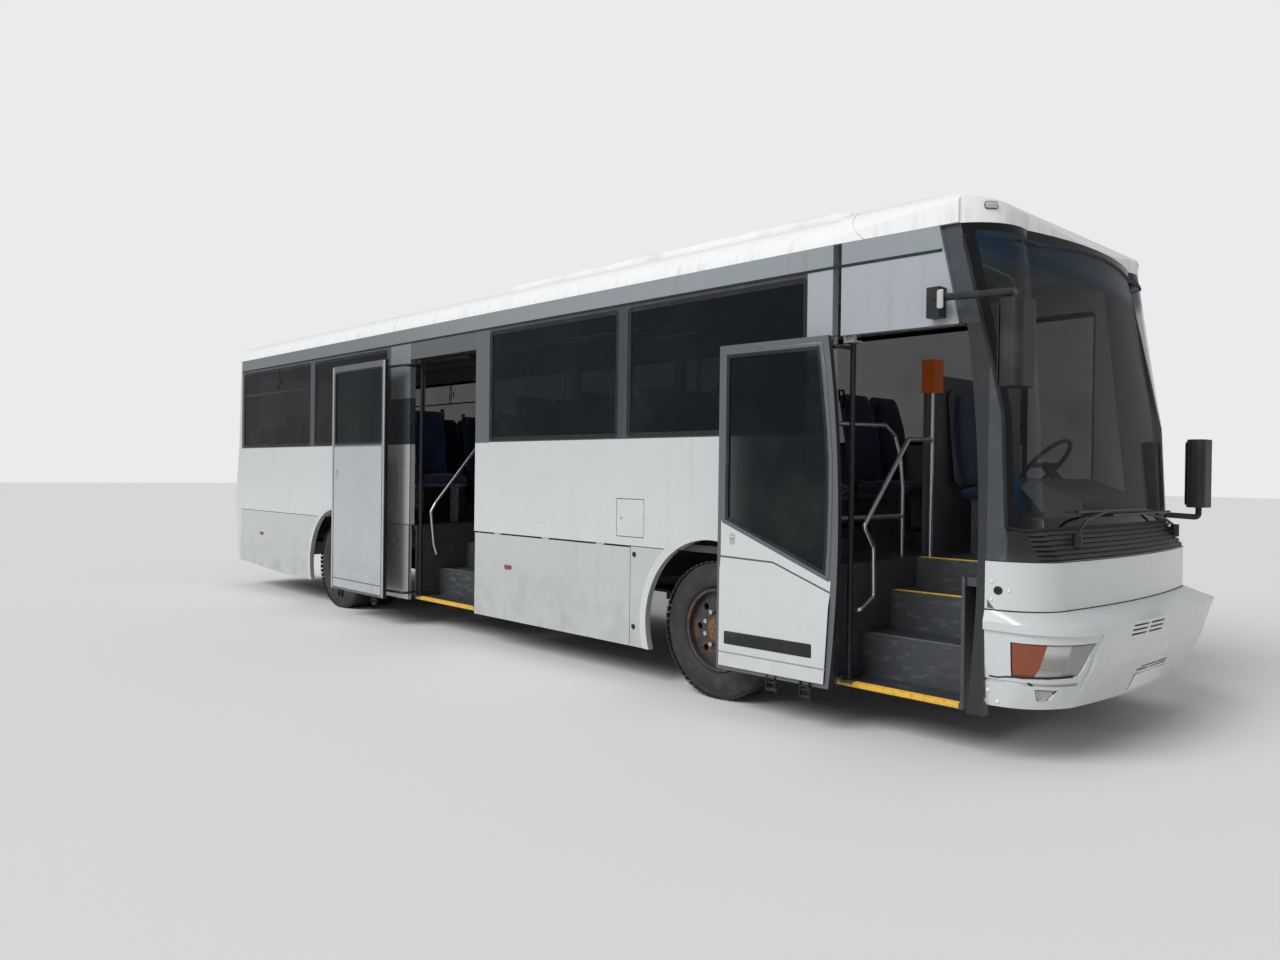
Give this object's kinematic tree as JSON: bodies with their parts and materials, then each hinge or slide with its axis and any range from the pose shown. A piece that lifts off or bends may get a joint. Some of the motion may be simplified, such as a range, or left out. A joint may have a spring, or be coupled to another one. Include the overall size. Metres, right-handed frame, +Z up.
{
  "type": "city bus",
  "caption": "Silver-grey single-deck city bus with open plug doors, deep side windows, a roof unit and a raised floor over luggage bays.",
  "frame": {"origin": "on the ground, under the middle of the bus in length and width", "axes": "+X to the bus's left, -Y forward, +Z up"},
  "size_m": [3.05, 11.3498, 3.3421],
  "materials": {
    "body_paint": "satin, light silver grey",
    "roof_paint": "satin, pale",
    "frame_paint": "satin, dark blue grey",
    "dark_plastic": "matt, fine grained",
    "pod_plastic": "semi-gloss",
    "glass": "tinted",
    "door_rubber": "satin, with rubber edges",
    "floor_covering": "ribbed",
    "light_lining": "matt",
    "chassis_paint": "semi-matt, dusty",
    "cast_iron": "rough",
    "engine_block": "rough",
    "tyre": "matt",
    "wheel_paint": "satin",
    "steel": "brushed",
    "lamp_lens": "clear and amber",
    "seat_fabric": "patterned pile"
  },
  "bodies": {
    "body": {"arch_lips": "body_paint", "bumper": "body_paint", "ceiling": "light_lining", "chassis_frame": "chassis_paint", "dashboard": "dark_plastic", "engine": "engine_block", "floor": "floor_covering", "front_axle": "chassis_paint", "front_dome": "roof_paint", "front_panel": "body_paint", "grab_rails": "steel", "handrail_left": "steel", "handrail_right": "steel", "lamps": "lamp_lens", "louvre": "dark_plastic", "mirrors": "dark_plastic", "rear_axle": "chassis_paint", "rear_wall": "body_paint", "roof": "roof_paint", "roof_pod": "pod_plastic", "saloon_frames": "steel", "screen_frame": "frame_paint", "seats": "seat_fabric", "side_glass": "glass", "skirts": "body_paint", "wall_left": "body_paint", "wall_right": "body_paint", "windscreen": "glass", "wipers": "dark_plastic"},
    "steering_left": {"knuckle_left": "cast_iron"},
    "steering_right": {"knuckle_right": "cast_iron"},
    "track_rod": {"tie_rod": "chassis_paint"},
    "front_wheel_left": {"front_tyre_left": "tyre", "front_rim_left": "wheel_paint"},
    "front_wheel_right": {"front_tyre_right": "tyre", "front_rim_right": "wheel_paint"},
    "rear_wheels_left": {"rear_tyres_left": "tyre", "rear_rims_left": "wheel_paint"},
    "rear_wheels_right": {"rear_tyres_right": "tyre", "rear_rims_right": "wheel_paint"},
    "front_door_swing": {"front_door_arm": "steel"},
    "front_door": {"front_door_leaf": "door_rubber", "front_door_glass": "glass"},
    "mid_door_swing": {"mid_door_arm": "steel"},
    "mid_door": {"mid_door_leaf": "door_rubber", "mid_door_glass": "glass"},
    "rear_hatch": {"engine_hatch": "body_paint"},
    "bay_flap": {"luggage_flap": "body_paint"},
    "filler_flap": {"fuel_flap": "body_paint"}
  },
  "joints": [
    {"name": "kingpin_right", "type": "hinge", "parent": "body", "child": "steering_right", "pos_m": [-0.87, -3.135, 0.48], "axis": [0, 0, 1], "range_deg": [-40, 40]},
    {"name": "kingpin_left", "type": "hinge", "parent": "body", "child": "steering_left", "pos_m": [0.87, -3.135, 0.48], "axis": [0, 0, 1], "range_deg": [-40, 40]},
    {"name": "track_rod_end", "type": "hinge", "parent": "steering_right", "child": "track_rod", "pos_m": [-0.87, -2.925, 0.375], "axis": [0, 0, 1], "range_deg": [-40, 40]},
    {"name": "wheel_front_left", "type": "hinge", "parent": "steering_left", "child": "front_wheel_left", "pos_m": [1.06, -3.135, 0.48], "axis": [1, 0, 0], "continuous": true},
    {"name": "wheel_front_right", "type": "hinge", "parent": "steering_right", "child": "front_wheel_right", "pos_m": [-1.06, -3.135, 0.48], "axis": [1, 0, 0], "continuous": true},
    {"name": "wheels_rear_left", "type": "hinge", "parent": "body", "child": "rear_wheels_left", "pos_m": [0.906, 2.545, 0.48], "axis": [1, 0, 0], "continuous": true},
    {"name": "wheels_rear_right", "type": "hinge", "parent": "body", "child": "rear_wheels_right", "pos_m": [-0.906, 2.545, 0.48], "axis": [1, 0, 0], "continuous": true},
    {"name": "front_door_post", "type": "hinge", "parent": "body", "child": "front_door_swing", "pos_m": [-1.155, -4.205, 1.345], "axis": [0, 0, 1], "range_deg": [0, 155.41]},
    {"name": "front_door_pins", "type": "hinge", "parent": "front_door_swing", "child": "front_door", "pos_m": [-1.325, -3.83353, 1.345], "axis": [0, 0, 1], "range_deg": [-155.41, 0]},
    {"name": "mid_door_post", "type": "hinge", "parent": "body", "child": "mid_door_swing", "pos_m": [-1.155, 0.87, 1.4725], "axis": [0, 0, 1], "range_deg": [0, 158.98]},
    {"name": "mid_door_pins", "type": "hinge", "parent": "mid_door_swing", "child": "mid_door", "pos_m": [-1.385, 1.46867, 1.4725], "axis": [0, 0, 1], "range_deg": [-158.98, 0]},
    {"name": "rear_hatch_hinge", "type": "hinge", "parent": "body", "child": "rear_hatch", "pos_m": [0, 5.58625, 1.6], "axis": [1, 0, 0], "range_deg": [0, 75]},
    {"name": "bay_flap_hinge", "type": "hinge", "parent": "body", "child": "bay_flap", "pos_m": [-1.247, -1.282, 1.011], "axis": [0, 1, 0], "range_deg": [0, 85]},
    {"name": "filler_flap_hinge", "type": "hinge", "parent": "body", "child": "filler_flap", "pos_m": [-1.25, -2.462, 1.225], "axis": [0, 0, 1], "range_deg": [0, 100]}
  ],
  "couplings": [
    {"joint": "kingpin_left", "follows": "kingpin_right", "ratio": 1},
    {"joint": "track_rod_end", "follows": "kingpin_right", "ratio": -1},
    {"joint": "front_door_pins", "follows": "front_door_post", "ratio": -1},
    {"joint": "mid_door_pins", "follows": "mid_door_post", "ratio": -1}
  ]
}
